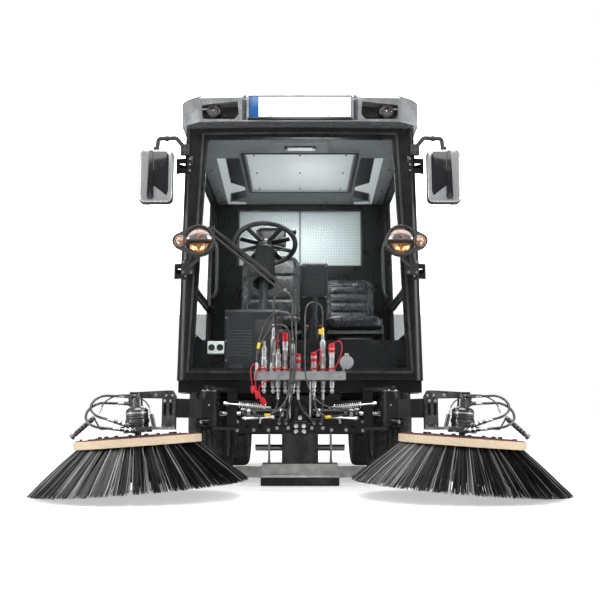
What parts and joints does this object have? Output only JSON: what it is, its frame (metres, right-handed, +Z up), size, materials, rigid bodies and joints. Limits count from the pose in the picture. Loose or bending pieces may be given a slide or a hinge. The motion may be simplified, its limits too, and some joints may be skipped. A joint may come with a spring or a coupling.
{
  "type": "compact street sweeper",
  "caption": "Compact ride-on street sweeper with a glazed cab, two swinging side brushes ahead, a suction mouth and a rear-tipping hopper.",
  "frame": {"origin": "on the ground, midway along the length and on the centre plane", "axes": "+Z up, the front faces -Y, +X is the vehicle's left"},
  "size_m": [2.3304, 4.2, 1.988],
  "materials": {
    "body_grey": "light grey satin paint",
    "frame_black": "black powder coat",
    "plastic_black": "moulded black plastic",
    "glass_clear": "clear safety glass",
    "steel": "bare and plated steel",
    "cast": "dark cast housings",
    "tyre_black": "moulded tyre rubber",
    "rim_grey": "silver grey wheel paint",
    "trim_pale": "pale grey ceiling trim",
    "trim_dark": "dark grey cab trim",
    "seat_black": "black vinyl",
    "bristle_black": "black brush bristle",
    "ring_wood": "pale beech",
    "rubber_black": "black rubber",
    "plate_white": "blank white plate",
    "lens_clear": "clear and coloured lamp covers"
  },
  "bodies": {
    "root": {"chassis_frame": "frame_black", "front_axle": "cast", "rear_axle": "cast", "engine_block": "cast", "cab_front_frame": "frame_black", "cab_rear_wall": "frame_black", "cab_windows": "glass_clear", "cab_floor": "frame_black", "cab_roof": "body_grey", "headliner": "trim_pale", "lamp_lenses": "lens_clear", "number_plates": "plate_white", "cab_controls": "trim_dark", "seat_cushions": "seat_black", "seat_backrests": "seat_black", "seat_bases": "plastic_black", "mirrors": "plastic_black", "headlights": "plastic_black", "wiper": "plastic_black", "rear_body": "body_grey", "suction_duct": "rubber_black", "suction_mouth": "steel", "mouth_flap": "rubber_black", "front_beam": "frame_black", "coupling_bank": "steel", "front_hoses": "rubber_black"},
    "track_rod": {"track_rod": "cast"},
    "steering_wheel": {"steering_wheel": "plastic_black"},
    "hopper": {"hopper": "body_grey"},
    "hopper_door": {"hopper_door": "body_grey"},
    "ram_barrel": {"ram_barrel": "frame_black"},
    "ram_rod": {"ram_rod": "steel"},
    "knuckle_left": {"knuckle_left": "cast"},
    "wheel_front_left": {"tyre_front_left": "tyre_black", "rim_front_left": "rim_grey"},
    "wheel_rear_left": {"tyre_rear_left": "tyre_black", "rim_rear_left": "rim_grey"},
    "door_left": {"door_left": "frame_black", "door_glass_left": "glass_clear"},
    "swing_rod_left": {"swing_rod_left": "steel"},
    "brush_arm_left": {"brush_arm_left": "frame_black"},
    "brush_head_left": {"brush_head_left": "cast", "brush_hoses_left": "rubber_black"},
    "brush_left": {"brush_disc_left": "steel", "brush_ring_left": "ring_wood", "brush_bristles_left": "bristle_black"},
    "knuckle_right": {"knuckle_right": "cast"},
    "wheel_front_right": {"tyre_front_right": "tyre_black", "rim_front_right": "rim_grey"},
    "wheel_rear_right": {"tyre_rear_right": "tyre_black", "rim_rear_right": "rim_grey"},
    "door_right": {"door_right": "frame_black", "door_glass_right": "glass_clear"},
    "swing_rod_right": {"swing_rod_right": "steel"},
    "brush_arm_right": {"brush_arm_right": "frame_black"},
    "brush_head_right": {"brush_head_right": "cast", "brush_hoses_right": "rubber_black"},
    "brush_right": {"brush_disc_right": "steel", "brush_ring_right": "ring_wood", "brush_bristles_right": "bristle_black"}
  },
  "joints": [
    {"name": "steer_right", "type": "hinge", "parent": "root", "child": "knuckle_right", "pos_m": [-0.35, -0.525, 0.33], "axis": [0, 0, 1], "range_deg": [-30, 30]},
    {"name": "steer_left", "type": "hinge", "parent": "root", "child": "knuckle_left", "pos_m": [0.35, -0.525, 0.33], "axis": [0, 0, 1], "range_deg": [-31, 31]},
    {"name": "track_rod_slide", "type": "slide", "parent": "root", "child": "track_rod", "axis": [1, 0, 0], "range_m": [-0.07, 0.07]},
    {"name": "steering_wheel_turn", "type": "hinge", "parent": "root", "child": "steering_wheel", "pos_m": [-0.2, -0.575, 1.34], "axis": [0, 0.515, 0.8572], "range_deg": [-365, 365]},
    {"name": "wheel_front_left_spin", "type": "hinge", "parent": "knuckle_left", "child": "wheel_front_left", "pos_m": [0.4925, -0.525, 0.33], "axis": [1, 0, 0], "continuous": true},
    {"name": "wheel_rear_left_spin", "type": "hinge", "parent": "root", "child": "wheel_rear_left", "pos_m": [0.4925, 1.375, 0.33], "axis": [1, 0, 0], "continuous": true},
    {"name": "door_left_hinge", "type": "hinge", "parent": "root", "child": "door_left", "pos_m": [0.634, -1.1, 1.2], "axis": [0, 0, -1], "range_deg": [0, 70]},
    {"name": "brush_left_swing", "type": "hinge", "parent": "root", "child": "brush_arm_left", "pos_m": [0.42, -1.38, 0.385], "axis": [0, 0, 1], "range_deg": [-30, 25]},
    {"name": "swing_rod_left_slide", "type": "slide", "parent": "root", "child": "swing_rod_left", "axis": [1, 0, 0], "range_m": [-0.045, 0.045]},
    {"name": "brush_left_lift", "type": "slide", "parent": "brush_arm_left", "child": "brush_head_left", "axis": [0, 0, 1], "range_m": [0, 0.055]},
    {"name": "brush_left_spin", "type": "hinge", "parent": "brush_head_left", "child": "brush_left", "pos_m": [0.705, -1.625, 0.238], "axis": [0.0698, 0, 0.9976], "continuous": true},
    {"name": "wheel_front_right_spin", "type": "hinge", "parent": "knuckle_right", "child": "wheel_front_right", "pos_m": [-0.4925, -0.525, 0.33], "axis": [1, 0, 0], "continuous": true},
    {"name": "wheel_rear_right_spin", "type": "hinge", "parent": "root", "child": "wheel_rear_right", "pos_m": [-0.4925, 1.375, 0.33], "axis": [1, 0, 0], "continuous": true},
    {"name": "door_right_hinge", "type": "hinge", "parent": "root", "child": "door_right", "pos_m": [-0.634, -1.1, 1.2], "axis": [0, 0, 1], "range_deg": [0, 70]},
    {"name": "brush_right_swing", "type": "hinge", "parent": "root", "child": "brush_arm_right", "pos_m": [-0.42, -1.38, 0.385], "axis": [0, 0, -1], "range_deg": [-30, 25]},
    {"name": "swing_rod_right_slide", "type": "slide", "parent": "root", "child": "swing_rod_right", "axis": [-1, 0, 0], "range_m": [-0.045, 0.045]},
    {"name": "brush_right_lift", "type": "slide", "parent": "brush_arm_right", "child": "brush_head_right", "axis": [0, 0, 1], "range_m": [0, 0.055]},
    {"name": "brush_right_spin", "type": "hinge", "parent": "brush_head_right", "child": "brush_right", "pos_m": [-0.705, -1.625, 0.238], "axis": [-0.0698, 0, 0.9976], "continuous": true},
    {"name": "hopper_tip", "type": "hinge", "parent": "root", "child": "hopper", "pos_m": [0, 2.018, 0.862], "axis": [-1, 0, 0], "range_deg": [0, 45]},
    {"name": "hopper_door_swing", "type": "hinge", "parent": "hopper", "child": "hopper_door", "pos_m": [0, 2.062, 1.904], "axis": [1, 0, 0], "range_deg": [0, 90]},
    {"name": "ram_barrel_swing", "type": "hinge", "parent": "root", "child": "ram_barrel", "pos_m": [0, 1.811, 0.4625], "axis": [-1, 0, 0], "range_deg": [-1, 24]},
    {"name": "ram_extend", "type": "slide", "parent": "ram_barrel", "child": "ram_rod", "axis": [0, -0.5424, 0.8402], "range_m": [-0.005, 0.2785]}
  ],
  "couplings": [
    {"joint": "steer_left", "follows": "steer_right", "ratio": 1},
    {"joint": "track_rod_slide", "follows": "steer_right", "m_per_rad": -0.127},
    {"joint": "steering_wheel_turn", "follows": "steer_right", "ratio": 12},
    {"joint": "ram_barrel_swing", "follows": "hopper_tip", "ratio": 0.5},
    {"joint": "ram_extend", "follows": "hopper_tip", "m_per_rad": 0.347},
    {"joint": "swing_rod_left_slide", "follows": "brush_left_swing", "m_per_rad": -0.083},
    {"joint": "swing_rod_right_slide", "follows": "brush_right_swing", "m_per_rad": -0.083}
  ]
}
